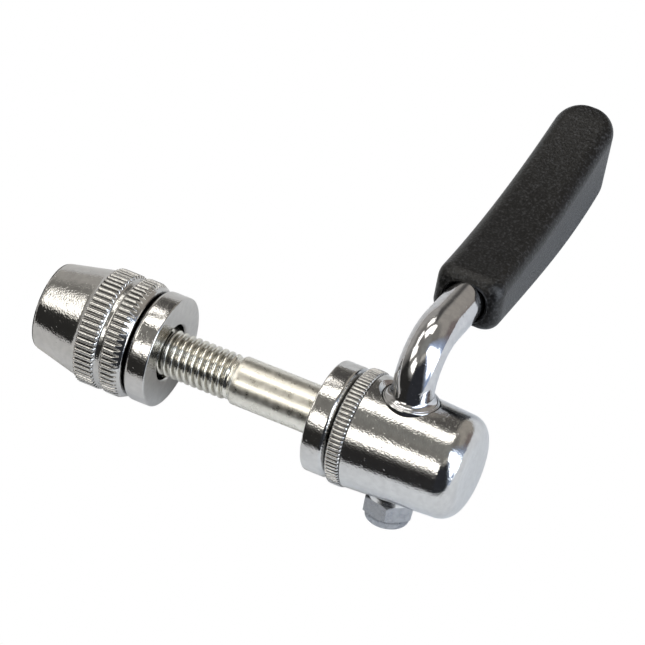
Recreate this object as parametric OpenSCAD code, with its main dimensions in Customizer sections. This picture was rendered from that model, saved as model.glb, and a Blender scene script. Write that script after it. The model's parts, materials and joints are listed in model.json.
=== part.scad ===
// Quick release bolt for a bicycle seat clamp, lying as it comes to rest.
// All lengths are in millimetres. Each piece is drawn about the bolt: X runs along it
// towards the cam housing, Z is the lever's pivot axis and the lever arm points along Y.
// The finished assembly is then tipped onto its three points of contact, and its origin
// is the middle of the gap between the two clamping washers.

/* [Bolt] */
// Gap between the clamping faces of the two washers
clamp_gap = 29; // [20:0.5:40]
// Diameter of the plain shank
shank_d = 8.4; // [8.1:0.1:8.6]
// Major diameter of the thread
thread_d = 8; // [7:0.1:8]
// Thread pitch
thread_pitch = 1.25; // [1:0.05:1.5]
// Length of shank that is left bare in the clamp gap
shank_bare = 16.1; // [10:0.1:18]
// How far the bolt's end stays inside the adjuster nut
bolt_end_inset = 4.2; // [1:0.1:8]
// Thickness of the eye along the pivot axis
eye_t = 8; // [6:0.1:8.6]
// Outer radius of the eye about the pivot axis
eye_r = 6.5; // [5.8:0.1:6.6]

/* [Cam] */
// Offset of the eccentric from the lever's journals
cam_offset = 0.5; // [0.3:0.05:0.5]
// Diameter of the eccentric that turns in the eye
cam_d = 7.5; // [6.5:0.1:7.8]

/* [Adjuster nut] */
// Overall length of the adjuster nut
nut_len = 17.9; // [16:0.1:22]
// Radius of its small end
nut_small_r = 7.7; // [6.5:0.1:8.5]
// Radius where the cone meets the knurl
nut_cone_r = 9.6; // [9:0.1:9.8]
// Radius over the knurl's crests
nut_crest_r = 10.15; // [10:0.05:11]
// Depth of the knurl
knurl_depth = 0.42; // [0.2:0.02:0.45]
// Share of each tooth that its flat crest takes, on the nut and on the ring
knurl_land = 0.5; // [0.3:0.05:0.7]
// Teeth round the nut
nut_teeth = 60; // [40:1:72]
// Length of the knurl band next to the cone
nut_band_a = 3.8; // [2:0.1:5]
// Width of the plain groove between the two bands
nut_groove = 1.2; // [0.6:0.1:2]
// Length of the second knurl band
nut_band_b = 2.3; // [1.5:0.1:4]
// Length of the smooth chamfer at the washer end
nut_lip = 1.5; // [0.8:0.1:2]

/* [Washers] */
// Outer radius of both clamping washers
washer_r = 9.6; // [9:0.1:10]
// Overall thickness of both clamping washers
washer_t = 4.4; // [3:0.1:6]
// Height of the chamfer on the back of each washer
washer_chamfer = 0.9; // [0.3:0.1:1.5]
// Diameter of the hole through both washers
washer_hole_d = 9.7; // [9.7:0.1:10]

/* [Housing] */
// Distance from the pivot axis to the front face of the housing
housing_front = 9.2; // [8.8:0.1:12]
// Distance from the pivot axis to the closed end of the housing
housing_back = 12.7; // [11.5:0.1:16]
// Radius over the crests of the knurled ring
ring_crest_r = 10.1; // [9.8:0.05:11]
// Width of the knurled ring
ring_w = 2.7; // [1.5:0.1:3.2]
// Depth of the ring's teeth
ring_depth = 0.36; // [0.2:0.02:0.5]
// Teeth round the ring
ring_teeth = 80; // [60:1:90]
// Barrel radius behind the ring
barrel_front_r = 9.8; // [9.5:0.05:10]
// Barrel radius at the closed end, before the edge is rounded
barrel_back_r = 8.95; // [8.8:0.05:9.5]
// Radius of the rounded edge at the closed end
end_round = 3.4; // [1:0.1:3.5]
// Radius of the blind bore that takes the eye
housing_bore_r = 7.6; // [7.5:0.05:7.8]
// Thickness of the closed end
housing_floor = 4.5; // [3.5:0.1:4.7]

/* [Lever] */
// Diameter of the lever's bar
bar_d = 7; // [6:0.1:8]
// Radius of the collar that turns in the housing's upper bore
collar_r = 4.8; // [4.5:0.1:5]
// Height of the collar's top above the bolt axis
collar_top = 9.1; // [8.8:0.1:10]
// Radius of the journal in the housing's lower bore
journal_r = 2.75; // [2.6:0.05:3.2]
// Height where the bar starts to bend
bend_start = 11.5; // [11:0.1:14]
// Centreline radius of the bend
bend_r = 8; // [6:0.5:12]
// Angle through which the bar bends
bend_angle = 84; // [75:1:90]
// Diameter of the tang inside the grip
tang_d = 5; // [4:0.1:5.6]
// Length of the tang
tang_len = 30; // [20:0.5:33]
// Slope of the tang above the lever arm's direction
tang_angle = 11.5; // [10:0.5:13]

/* [Grip] */
// Angle by which the resting lever leans from the lever arm's direction towards the housing's end
lever_lean = 0.7; // [0:0.1:2]
// Length of the grip along the lever arm
grip_len = 45.7; // [38:0.1:55]
// Distance from the pivot axis to the near end of the grip
grip_start = 15.4; // [14:0.1:18]
// Height of the near end
grip_root_h = 9.4; // [9:0.1:11]
// Height of the far end
grip_tip_h = 14; // [11:0.1:16]
// Rise of the underside from end to end
grip_rise = 9.9; // [8:0.1:14]
// Width at the near end
grip_root_w = 12.1; // [10:0.1:14]
// Width at the far end
grip_tip_w = 10.7; // [9:0.1:14]
// Edge rounding at the near end
grip_root_round = 2.6; // [1:0.1:3.5]
// Edge rounding at the far end
grip_tip_round = 2.6; // [1:0.1:3]
// Rounding of the near end: its length
root_end_l = 1.8; // [0.6:0.1:3]
// Rounding of the near end: how far the sides come in
root_end_w = 1.4; // [0.6:0.1:2]
// Rounding of the near end: how far top and underside come in
root_end_h = 1; // [0.4:0.1:1.1]
// Rounding of the far end: its length
tip_end_l = 3.5; // [1:0.1:5]
// Rounding of the far end: how far the sides come in
tip_end_w = 3; // [1:0.1:4]
// Rounding of the far end: how far top and underside come in
tip_end_h = 0.7; // [0.4:0.1:2]

/* [Lock nut] */
// Width of the lock nut across its flats
lock_flats = 8; // [8:0.1:9]
// Height of its hexagon
lock_hex_h = 2.9; // [2:0.1:3.5]
// Height of the round collar that holds the insert
lock_collar_h = 1.9; // [1.8:0.1:2.5]
// Radius of that collar
lock_collar_r = 3.75; // [3.6:0.05:3.9]
// Rounding of the collar's outer edge
lock_round = 0.8; // [0.3:0.1:1]
// Major diameter of the lever's threaded end
stub_d = 5; // [4.6:0.1:5]
// Thickness of the thin washer under the lock nut
thin_washer_t = 0.8; // [0.5:0.1:1.2]
// Radius of the thin washer
thin_washer_r = 4.1; // [3.8:0.1:4.4]
// Angle of the nut's corners about the pivot axis, from the bolt's direction
lock_turn = -14; // [-30:1:30]
// Depth of the spot face under the barrel's surface
spot_depth = 1.1; // [0.8:0.1:1.6]

/* [Clearances] */
// Radial clearance of the cam and both journals
running_gap = 0.05; // [0.03:0.01:0.09]
// Gap between faces that bear on each other across a joint
seat_gap = 0.12; // [0.05:0.01:0.3]
// Radial clearance round the threads
thread_gap = 0.08; // [0.05:0.01:0.15]
// Gap between the lever's tang and the grip moulded on it
mould_gap = 0.02; // [0.01:0.01:0.05]

/* [Hidden] */
$fn = 96;

// Places along the bolt, from the pivot axis outwards
inner_back_x = -housing_front - seat_gap;
inner_face_x = inner_back_x - washer_t;
outer_face_x = inner_face_x - clamp_gap;
outer_back_x = outer_face_x - washer_t;
nut_front_x = outer_back_x - seat_gap;
nut_end_x = nut_front_x - nut_len;
band_b_x = nut_front_x - nut_lip;
groove_x = band_b_x - nut_band_b;
band_a_x = groove_x - nut_groove;
cone_x = band_a_x - nut_band_a;
bolt_end_x = nut_end_x + bolt_end_inset;
frame_x = (inner_face_x + outer_face_x) / 2;

// Thread and shank
shank_r = shank_d / 2;
thread_r = thread_d / 2;
thread_depth = 0.613 * thread_pitch;
crest_flat = thread_pitch / 8;
root_flat = thread_pitch / 4;
flank = (thread_pitch - crest_flat - root_flat) / 2;
shank_start_x = inner_face_x - shank_bare;
runout = 1.1;
runout_depth = 0.35;
point_chamfer = 0.8;
point_land = 0.01;
thread_end_x = shank_start_x - runout;
thread_turns = floor((thread_end_x - bolt_end_x - point_chamfer) / thread_pitch);

// Eye and the neck that flares into it
eye_x = -cam_offset;
eye_hole_r = cam_d / 2 + running_gap;
head_gap = 0.2;
head_r = housing_bore_r - cam_offset - head_gap;
neck_x = eye_x - eye_r;
neck_overlap = 0.5;
neck_end_x = neck_x + neck_overlap;
neck_r = min(head_r - 0.8, eye_r - 0.6);
neck_len = 2.2;
flare_x = neck_x - neck_len;
neck_draft = 0.06;

// The turned blanks stand this far outside the knurl's crests, so the two share no surface
blank_clear = 0.06;

// Nut
nut_blank_r = nut_crest_r + blank_clear;
nut_bore_r = thread_r + thread_gap;
nut_edge = 0.6;
groove_step = 0.3;
groove_r = nut_crest_r - knurl_depth - groove_step;
band_chamfer = 0.25;
lip_step = 0.1;
lip_r = groove_r - lip_step;
bore_chamfer = 0.5;

// Housing
bore_end_x = housing_back - housing_floor;
top_bore_r = collar_r + running_gap;
low_bore_r = journal_r + running_gap;
mouth_chamfer = 0.4;
ring_blank_r = ring_crest_r + blank_clear;
ring_back_x = ring_w - housing_front;
ring_chamfer = 0.3;
// The barrel starts a little inside the ring, behind a hairline step
barrel_step = 0.2;
barrel_overlap = 0.5;
arc_start = 3;
mouth_h = 2;
spot_z = spot_depth - barrel_front_r;

// Lever heights along the pivot axis
cam_z = eye_t / 2 + 2 * running_gap + seat_gap;
collar_chamfer = 0.4;
neck_blend = 1.1;
bar_r = bar_d / 2;
tang_r = tang_d / 2;
bend_end_y = bend_r * (1 - cos(bend_angle));
bend_end_z = bend_start + bend_r * sin(bend_angle);
exit_angle = 90 - bend_angle;
bar_insert = 2.5;
bar_end_y = grip_start + bar_insert;
bar_end_z = bend_end_z + (bar_end_y - bend_end_y) * tan(exit_angle);
bar_leg = (bar_end_y - bend_end_y) / cos(exit_angle);
// The straight leg is a hair thinner than the bend and starts just inside it, so the two
// meet on one clean circle.
leg_r = bar_r - 0.01;
leg_overlap = 0.05;
tang_overlap = 1;

// Grip heights: the bar leaves through the middle of its near end
grip_entry_z = bend_end_z + (grip_start - bend_end_y) * tan(exit_angle);
grip_low_z = grip_entry_z - grip_root_h / 2;
grip_high_z = grip_entry_z + grip_root_h / 2;
grip_tip_low_z = grip_low_z + grip_rise;
grip_tip_high_z = grip_tip_low_z + grip_tip_h;
low_straight = 0.42;
high_straight = 0.43;
widest_corner = 0.9;
corner_steps = 7;
end_steps = 5;
span_steps = 26;

// Lock nut, below the spot face on the housing
stub_r = stub_d / 2;
stub_bore_r = stub_r + thread_gap;
lock_corner_r = lock_flats / 2 / cos(30);
spot_gap = 0.3;
spot_r = lock_corner_r + spot_gap;
thin_top_z = spot_z - seat_gap;
lock_top_z = thin_top_z - thin_washer_t;
lock_hex_z = lock_top_z - lock_hex_h;
lock_end_z = lock_hex_z - lock_collar_h;
lock_chamfer = 0.5;
collar_overlap = 0.2;
insert_lip = 0.3;
insert_wall = 0.6;
insert_r = lock_collar_r - insert_wall;
insert_lip_r = insert_r - insert_lip;
insert_h = lock_collar_h - insert_lip - collar_overlap;
insert_top_z = lock_end_z + insert_lip + insert_h;
stub_inset = 0.3;
stub_end_z = lock_end_z + stub_inset;

// Underside, top, width and corner radius of the grip at share t of its length.
function grip_low(t) = grip_low_z + grip_rise * (low_straight * t + (1 - low_straight) * pow(t, 4));
function grip_high(t) =
    grip_high_z + (grip_tip_high_z - grip_high_z) * (high_straight * t + (1 - high_straight) * t * t);
function grip_w(t) = grip_root_w + (grip_tip_w - grip_root_w) * t;
function grip_corner(t) = grip_root_round + (grip_tip_round - grip_root_round) * t;

// Stations [y, how far the sides come in, how far top and underside come in], from the near
// end to the far end. Both ends are rounded over on quarter ellipses.
grip_end_y = grip_start + grip_len;
grip_stations = concat(
    [for (i = [0 : end_steps]) let (a = 90 * i / end_steps)
        [grip_start + root_end_l * (1 - cos(a)), root_end_w * (1 - sin(a)), root_end_h * (1 - sin(a))]],
    [for (i = [1 : span_steps - 1])
        [grip_start + root_end_l + (grip_len - root_end_l - tip_end_l) * i / span_steps, 0, 0]],
    [for (i = [end_steps : -1 : 0]) let (a = 90 * i / end_steps)
        [grip_end_y - tip_end_l * (1 - cos(a)), tip_end_w * (1 - sin(a)), tip_end_h * (1 - sin(a))]]);

// At rest the assembly touches the surface with the lock nut's collar, the grip's tip and
// the nut's knurl. The line from the collar's rounding that first meets a station of the
// grip's underside gives the roll, the knurl gives the pitch.
low_y = lock_collar_r - lock_round;
low_z = lock_end_z + lock_round;
function touch_angle(y, z) = atan2(z - low_z, y - low_y) + asin(lock_round / norm([y - low_y, z - low_z]));
lie_roll = min([for (s = grip_stations)
    touch_angle(s[0] * cos(lever_lean), grip_low((s[0] - grip_start) / grip_len) + s[2])]);
lie_drop = lock_round + low_y * sin(lie_roll) - low_z * cos(lie_roll);
lie_pitch = atan((lie_drop - nut_crest_r) / -band_b_x);

// Tips the assembly from the bolt's own axes to the way it lies.
module lying() {
    rotate([-lie_roll, -lie_pitch, 0])
        translate([-frame_x, 0, 0])
            children();
}

// Turns a profile of [radius, place along X] about the bolt axis.
module turned(points) {
    rotate([0, 90, 0])
        rotate_extrude()
            polygon([for (p = points) [p[0], p[1]]]);
}

// Straight cylinder along X.
module rod_x(r, x0, x1) {
    translate([x0, 0, 0])
        rotate([0, 90, 0])
            cylinder(r = r, h = x1 - x0);
}

// Quarter circle of points about a centre, from one angle to another.
function arc(c, r, a0, a1, n) =
    [for (i = [0 : n]) let (a = a0 + (a1 - a0) * i / n) [c[0] + r * cos(a), c[1] + r * sin(a)]];

// Outline with straight knurl teeth: a flat crest, then a V down to the root.
function knurl_outline(teeth, crest_r, depth) =
    [for (i = [0 : teeth - 1], k = [-1, 1, 0])
        let (share = k == 0 ? 1 / 2 : k * knurl_land / 2,
             a = 360 * (i + share) / teeth,
             r = k == 0 ? crest_r - depth : crest_r)
        [r * cos(a), r * sin(a)]];

// Knurled prism along X.
module knurl_x(teeth, crest_r, depth, x0, x1) {
    translate([x0, 0, 0])
        rotate([0, 90, 0])
            linear_extrude(height = x1 - x0)
                polygon(knurl_outline(teeth, crest_r, depth));
}

// One turn of thread, from root to crest and back, as ring profile points.
function ring_points(x) = [
    [thread_r - thread_depth, x + root_flat / 2],
    [thread_r, x + root_flat / 2 + flank],
    [thread_r, x + root_flat / 2 + flank + crest_flat],
    [thread_r - thread_depth, x + thread_pitch - root_flat / 2]];

function thread_points() =
    [for (i = [0 : thread_turns - 1], p = ring_points(thread_end_x - (thread_turns - i) * thread_pitch)) p];

// Bolt with a rolled thread at one end and a forged eye at the other.
module eye_bolt() {
    color("lightgray") lying() difference() {
        union() {
            turned(concat(
                [[0, bolt_end_x], [thread_r - point_chamfer, bolt_end_x], [thread_r, bolt_end_x + point_chamfer],
                 [thread_r, thread_end_x - thread_turns * thread_pitch - point_land]],
                thread_points(),
                [[thread_r - runout_depth, thread_end_x], [thread_r - runout_depth, thread_end_x + runout / 2],
                 [shank_r, shank_start_x], [shank_r, inner_face_x], [shank_r + neck_draft, flare_x],
                 [neck_r, neck_x], [neck_r, neck_end_x],
                 [0, neck_end_x]]));
            intersection() {
                translate([eye_x, 0, -eye_t / 2])
                    cylinder(r = eye_r, h = eye_t);
                rod_x(head_r, neck_x, eye_x + 2 * eye_r);
            }
        }
        translate([eye_x, 0, -eye_t])
            cylinder(r = eye_hole_r, h = 2 * eye_t);
    }
}

// Conical adjuster nut with two knurl bands and a plain groove between them.
module adjuster_nut() {
    color("silver") lying() difference() {
        intersection() {
            turned(concat(
                [[0, nut_end_x]],
                arc([nut_small_r - nut_edge, nut_end_x + nut_edge], nut_edge, -90, -12, 4),
                [[nut_cone_r, cone_x], [nut_blank_r - band_chamfer, cone_x], [nut_blank_r, cone_x + band_chamfer],
                 [nut_blank_r, band_a_x - band_chamfer], [nut_blank_r - band_chamfer, band_a_x],
                 [groove_r, band_a_x], [groove_r, groove_x],
                 [nut_blank_r - band_chamfer, groove_x], [nut_blank_r, groove_x + band_chamfer],
                 [nut_blank_r, band_b_x], [lip_r, nut_front_x], [0, nut_front_x]]));
            union() {
                rod_x(nut_crest_r + 1, nut_end_x - 1, cone_x);
                knurl_x(nut_teeth, nut_crest_r, knurl_depth, cone_x, nut_front_x + 1);
            }
        }
        rod_x(nut_bore_r, nut_end_x - 1, nut_front_x + 1);
        turned([[0, nut_end_x - 0.1], [nut_bore_r + bore_chamfer + 0.1, nut_end_x - 0.1],
                [nut_bore_r, nut_end_x + bore_chamfer], [0, nut_end_x + bore_chamfer]]);
        turned([[0, nut_front_x + 0.1], [nut_bore_r + bore_chamfer + 0.1, nut_front_x + 0.1],
                [nut_bore_r, nut_front_x - bore_chamfer], [0, nut_front_x - bore_chamfer]]);
    }
}

// Thick clamping washer: flat clamping face at 0, chamfered back towards +X.
module clamp_washer() {
    hole_r = washer_hole_d / 2;
    edge = 0.3;
    turned(concat(
        [[hole_r + edge, 0]],
        arc([washer_r - edge, edge], edge, -90, 0, 4),
        [[washer_r, washer_t - washer_chamfer], [washer_r - washer_chamfer, washer_t],
         [hole_r + edge, washer_t], [hole_r, washer_t - edge], [hole_r, edge]]));
}

module outer_washer() {
    color("gainsboro") lying()
        translate([outer_face_x, 0, 0])
            mirror([1, 0, 0])
                clamp_washer();
}

module inner_washer() {
    color("gainsboro") lying()
        translate([inner_face_x, 0, 0])
            clamp_washer();
}

// Cam housing: a blind barrel with a knurled ring, cross bored for the lever.
module housing() {
    color("silver") lying() difference() {
        union() {
            intersection() {
                turned([[0, -housing_front], [ring_blank_r - ring_chamfer, -housing_front],
                        [ring_blank_r, ring_chamfer - housing_front], [ring_blank_r, ring_back_x - ring_chamfer],
                        [ring_blank_r - ring_chamfer, ring_back_x], [0, ring_back_x]]);
                knurl_x(ring_teeth, ring_crest_r, ring_depth, -housing_front - 1, ring_back_x + 1);
            }
            turned(concat(
                [[0, ring_back_x - barrel_overlap], [barrel_front_r - barrel_step, ring_back_x - barrel_overlap],
                 [barrel_front_r - barrel_step, ring_back_x], [barrel_front_r, ring_back_x]],
                arc([barrel_back_r - end_round, housing_back - end_round], end_round, arc_start, 90, 9),
                [[0, housing_back]]));
        }
        rod_x(housing_bore_r, -housing_front - 1, bore_end_x);
        cylinder(r = top_bore_r, h = barrel_front_r + 1);
        translate([0, 0, collar_top - collar_chamfer - mouth_chamfer])
            cylinder(r1 = top_bore_r, r2 = top_bore_r + mouth_h, h = mouth_h);
        translate([0, 0, -barrel_front_r - 1])
            cylinder(r = low_bore_r, h = barrel_front_r + 1);
        translate([0, 0, -barrel_front_r - 1])
            cylinder(r = spot_r, h = barrel_front_r + 1 + spot_z);
    }
}

// Turns the lever's arm about the pivot axis to where it rests.
module leaning() {
    rotate([0, 0, -lever_lean])
        children();
}

// Straight round leg of the lever from a point on its centreline, climbing at an angle.
module leg(r, y, z, angle, length) {
    translate([0, y, z])
        rotate([angle - 90, 0, 0])
            cylinder(r = r, h = length);
}

// Tang beyond the bar's shoulder, started a little inside the bar.
module tang(r, extra) {
    leg(r, bar_end_y - tang_overlap * cos(tang_angle), bar_end_z - tang_overlap * sin(tang_angle),
        tang_angle, tang_overlap + tang_len + extra);
}

// The lever's forged bar: threaded end, journal, eccentric, collar, bend and tang.
module lever_bar() {
    color("silver") lying() {
        translate([0, 0, stub_end_z])
            cylinder(r = stub_r, h = spot_z - stub_end_z);
        translate([0, 0, spot_z])
            cylinder(r = journal_r, h = -cam_z - spot_z);
        translate([eye_x, 0, -cam_z])
            cylinder(r = cam_d / 2, h = 2 * cam_z);
        rotate_extrude()
            polygon(concat(
                [[0, cam_z], [collar_r, cam_z], [collar_r, collar_top - collar_chamfer],
                 [collar_r - collar_chamfer, collar_top]],
                arc([bar_r + neck_blend, collar_top + neck_blend], neck_blend, -90, -180, 6),
                [[bar_r, bend_start], [0, bend_start]]));
        leaning() {
            translate([0, bend_r, bend_start])
                rotate([0, -90, 0])
                    rotate([0, 0, -90])
                        rotate_extrude(angle = bend_angle)
                            translate([bend_r, 0])
                                circle(r = bar_r);
            leg(leg_r, bend_end_y - leg_overlap * cos(exit_angle), bend_end_z - leg_overlap * sin(exit_angle),
                exit_angle, bar_leg + leg_overlap);
            tang(tang_r, 0);
        }
    }
}

// Rounded rectangle of points at one station, in the plane across the lever arm.
function grip_section(y, side_in, top_in) =
    let (t = (y - grip_start) / grip_len,
         half_w = grip_w(t) / 2 - side_in,
         low = grip_low(t) + top_in,
         high = grip_high(t) - top_in,
         r = min(grip_corner(t), widest_corner * half_w, widest_corner * (high - low) / 2))
    [for (q = [0 : 3], i = [0 : corner_steps])
        let (a = 90 * (q + i / corner_steps),
             cx = (q == 0 || q == 3) ? half_w - r : r - half_w,
             cz = q < 2 ? high - r : low + r)
        [cx + r * cos(a), y, cz + r * sin(a)]];

// Skin over the stations, closed by a flat face at each end.
module grip_body() {
    ring = 4 * (corner_steps + 1);
    last = len(grip_stations) - 1;
    points = [for (s = grip_stations, p = grip_section(s[0], s[1], s[2])) p];
    polyhedron(
        points = points,
        faces = concat(
            [[for (j = [ring - 1 : -1 : 0]) j]],
            [for (i = [0 : last - 1], j = [0 : ring - 1])
                [i * ring + j, i * ring + (j + 1) % ring, (i + 1) * ring + (j + 1) % ring]],
            [for (i = [0 : last - 1], j = [0 : ring - 1])
                [i * ring + j, (i + 1) * ring + (j + 1) % ring, (i + 1) * ring + j]],
            [[for (j = [0 : ring - 1]) last * ring + j]]));
}

// Moulded grip with a socket that follows the bar and its tang.
module lever_grip() {
    color([0.18, 0.18, 0.19]) lying() leaning() difference() {
        grip_body();
        leg(leg_r + mould_gap, bend_end_y, bend_end_z, exit_angle, bar_leg + mould_gap);
        tang(tang_r + mould_gap, mould_gap);
    }
}

module thin_washer() {
    color("white") lying() difference() {
        translate([0, 0, lock_top_z])
            cylinder(r = thin_washer_r, h = thin_washer_t);
        translate([0, 0, lock_top_z - 1])
            cylinder(r = stub_bore_r, h = thin_washer_t + 2);
    }
}

// Hexagon lock nut whose round collar holds a plastic insert.
module lock_nut() {
    color("lightsteelblue") lying() difference() {
        union() {
            intersection() {
                translate([0, 0, lock_hex_z])
                    rotate([0, 0, lock_turn])
                        cylinder(r = lock_corner_r, h = lock_hex_h, $fn = 6);
                rotate_extrude()
                    polygon([[0, lock_hex_z], [lock_corner_r - lock_chamfer, lock_hex_z],
                             [lock_corner_r, lock_hex_z + lock_chamfer / 2],
                             [lock_corner_r, lock_top_z - lock_chamfer / 2],
                             [lock_corner_r - lock_chamfer, lock_top_z], [0, lock_top_z]]);
            }
            rotate_extrude()
                polygon(concat(
                    [[0, lock_end_z]],
                    arc([lock_collar_r - lock_round, lock_end_z + lock_round], lock_round, -90, 0, 5),
                    [[lock_collar_r, lock_hex_z + collar_overlap], [0, lock_hex_z + collar_overlap]]));
        }
        translate([0, 0, lock_end_z - 1])
            cylinder(r = stub_bore_r, h = lock_hex_h + lock_collar_h + 2);
        translate([0, 0, lock_end_z + insert_lip])
            cylinder(r = insert_r, h = insert_h);
        translate([0, 0, lock_end_z - 1])
            cylinder(r = insert_lip_r, h = 1 + insert_lip);
    }
}

module lock_nut_insert() {
    color("ivory") lying() difference() {
        translate([0, 0, lock_end_z + insert_lip])
            cylinder(r = insert_r - mould_gap, h = insert_h - mould_gap);
        translate([0, 0, lock_end_z])
            cylinder(r = stub_r + mould_gap, h = lock_collar_h);
    }
}

eye_bolt();
adjuster_nut();
outer_washer();
inner_washer();
housing();
lever_bar();
lever_grip();
thin_washer();
lock_nut();
lock_nut_insert();
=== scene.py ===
import bpy
import bmesh
import json
import numpy as np
from mathutils import Matrix, Vector


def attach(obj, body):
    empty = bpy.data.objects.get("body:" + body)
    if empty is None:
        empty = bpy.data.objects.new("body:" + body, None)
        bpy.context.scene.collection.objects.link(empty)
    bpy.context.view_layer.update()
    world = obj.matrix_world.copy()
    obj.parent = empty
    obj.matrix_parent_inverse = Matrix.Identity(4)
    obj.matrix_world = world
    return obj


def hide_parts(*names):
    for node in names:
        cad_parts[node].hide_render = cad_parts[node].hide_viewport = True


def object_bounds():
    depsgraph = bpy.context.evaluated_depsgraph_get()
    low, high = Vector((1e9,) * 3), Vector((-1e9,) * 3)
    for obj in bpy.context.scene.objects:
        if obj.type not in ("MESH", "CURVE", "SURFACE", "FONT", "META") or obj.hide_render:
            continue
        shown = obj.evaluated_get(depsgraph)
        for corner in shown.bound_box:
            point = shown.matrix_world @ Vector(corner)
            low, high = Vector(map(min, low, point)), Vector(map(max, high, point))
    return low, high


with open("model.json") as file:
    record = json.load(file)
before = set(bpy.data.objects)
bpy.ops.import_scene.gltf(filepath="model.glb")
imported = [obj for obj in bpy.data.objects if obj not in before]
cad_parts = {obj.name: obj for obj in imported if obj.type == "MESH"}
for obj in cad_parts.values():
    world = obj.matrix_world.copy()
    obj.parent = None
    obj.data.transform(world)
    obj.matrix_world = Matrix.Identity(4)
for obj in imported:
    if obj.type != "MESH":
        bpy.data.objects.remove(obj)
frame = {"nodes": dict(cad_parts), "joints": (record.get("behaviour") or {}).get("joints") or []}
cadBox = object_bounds()
print("frame loaded:", sorted(frame["nodes"]))

mm = 0.001
mergeWithin = 0.0000005
joints = {j["name"]: j for j in frame["joints"]}
alongBolt = np.array(joints["nut_spin"]["axis"])  # from the nut towards the housing
pivotUp = np.array(joints["lever_swing"]["axis"])
leverArm = np.cross(pivotUp, alongBolt)
journalCentre = np.array(joints["housing_follow"]["pos_m"])
boltAxes = np.array([alongBolt, leverArm, pivotUp])

# Places along the bolt in mm from the pivot axis, as the part has them
layout = dict(innerFace=-13.72, outerFace=-42.72, shankStart=-29.82)


def toRow(x, y, z):
    # Bolt coordinates in mm to the row frame in metres: journal centre plus each axis times its share.
    xyz = np.stack(np.broadcast_arrays(x, y, z), axis=-1).astype(float)
    return journalCentre + mm * (xyz @ boltAxes)


def smoothStep(t):
    # Zero below 0, one above 1, and 3t squared minus 2t cubed between.
    t = np.clip(t, 0.0, 1.0)
    return t * t * (3.0 - 2.0 * t)


def gridQuads(rows, columns, closeRows=False):
    # One quad a cell of a grid whose columns wrap round, as its rows may.
    r = np.arange(rows if closeRows else rows - 1)
    rr, cc = np.meshgrid(r, np.arange(columns), indexing="ij")
    rNext, cNext = (rr + 1) % rows, (cc + 1) % columns
    return np.stack([rr * columns + cc, rr * columns + cNext,
                     rNext * columns + cNext, rNext * columns + cc], axis=-1).reshape(-1, 4)


def gridPiece(name, points, closeRows=False):
    # Mesh over a grid of points (rows, columns, 3).
    return meshPiece(name, points.reshape(-1, 3), gridQuads(*points.shape[:2], closeRows))


def meshPiece(name, vertices, faces, caps=()):
    # Object at the origin: doubles merged, so poles and seams close, faces outwards, smooth shaded.
    mesh = bpy.data.meshes.new(name)
    polygons = np.asarray(faces).tolist() + [list(c) for c in caps]
    mesh.from_pydata(np.asarray(vertices).tolist(), [], polygons)
    tidied = bmesh.new()
    tidied.from_mesh(mesh)
    bmesh.ops.remove_doubles(tidied, verts=tidied.verts, dist=mergeWithin)
    bmesh.ops.recalc_face_normals(tidied, faces=tidied.faces)
    tidied.to_mesh(mesh)
    tidied.free()
    mesh.polygons.foreach_set("use_smooth", np.ones(len(mesh.polygons), bool))
    piece = bpy.data.objects.new(name, mesh)
    bpy.context.scene.collection.objects.link(piece)
    return piece


def turned(name, profile, columns=192, radiusAt=None):
    # Closed profile of (radius, x) rows carried once round the bolt axis; radiusAt may alter radii.
    radius, x = np.array(profile, float).T
    angle = np.linspace(0, 2 * np.pi, columns, endpoint=False)
    r = np.repeat(radius[:, None], columns, axis=1)
    if radiusAt is not None:
        r = radiusAt(r, x[:, None], angle[None, :])
    points = toRow(x[:, None] + 0 * r, r * np.sin(angle), r * np.cos(angle))
    return gridPiece(name, points, closeRows=True)


def uprightPoints(profile, columns, shiftX=0.0):
    # Profile of (radius, z) rows carried once round the pivot axis, or round one beside it.
    radius, z = np.array(profile, float)[:, :, None].transpose(1, 0, 2)
    angle = np.linspace(0, 2 * np.pi, columns, endpoint=False)
    return toRow(shiftX + radius * np.cos(angle), radius * np.sin(angle), z)


def roundCorner(cx, cy, radius, startDeg, endDeg, steps=6):
    # Points on an arc about a centre.
    a = np.radians(np.linspace(startDeg, endDeg, steps + 1))
    return [(cx + radius * np.cos(v), cy + radius * np.sin(v)) for v in a]


def softened(profile, edge, steps=3):
    # Each corner of a closed profile is cut back by an edge length, or by a share of a short side, and
    # bridged by a parabola through the cut points.
    p = np.array(profile, float)
    mostOfSide = 0.45
    out = []
    for i in range(len(p)):
        before, here, after = p[i - 1], p[i], p[(i + 1) % len(p)]
        back, ahead = before - here, after - here
        lengthBack, lengthAhead = np.linalg.norm(back), np.linalg.norm(ahead)
        cut = min(edge, mostOfSide * lengthBack, mostOfSide * lengthAhead)
        a, b = here + back / lengthBack * cut, here + ahead / lengthAhead * cut
        for t in np.linspace(0, 1, steps + 1):
            out.append(tuple((1 - t) ** 2 * a + 2 * t * (1 - t) * here + t * t * b))
    return out


def filled(profile, step):
    # Extra points along each straight stretch of a closed profile, so no stretch is longer than step.
    p = np.array(profile, float)
    out = []
    for i in range(len(p)):
        a, b = p[i], p[(i + 1) % len(p)]
        n = max(1, int(np.ceil(np.linalg.norm(b - a) / step)))
        out += [tuple(a + (b - a) * k / n) for k in range(n)]
    return out


# Materials
def nodeMaterial(name):
    material = bpy.data.materials.new(name)
    material.use_nodes = True
    tree = material.node_tree
    shader = tree.nodes["Principled BSDF"]
    place = tree.nodes.new("ShaderNodeTexCoord")
    return material, tree, shader, place.outputs["Object"]


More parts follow.
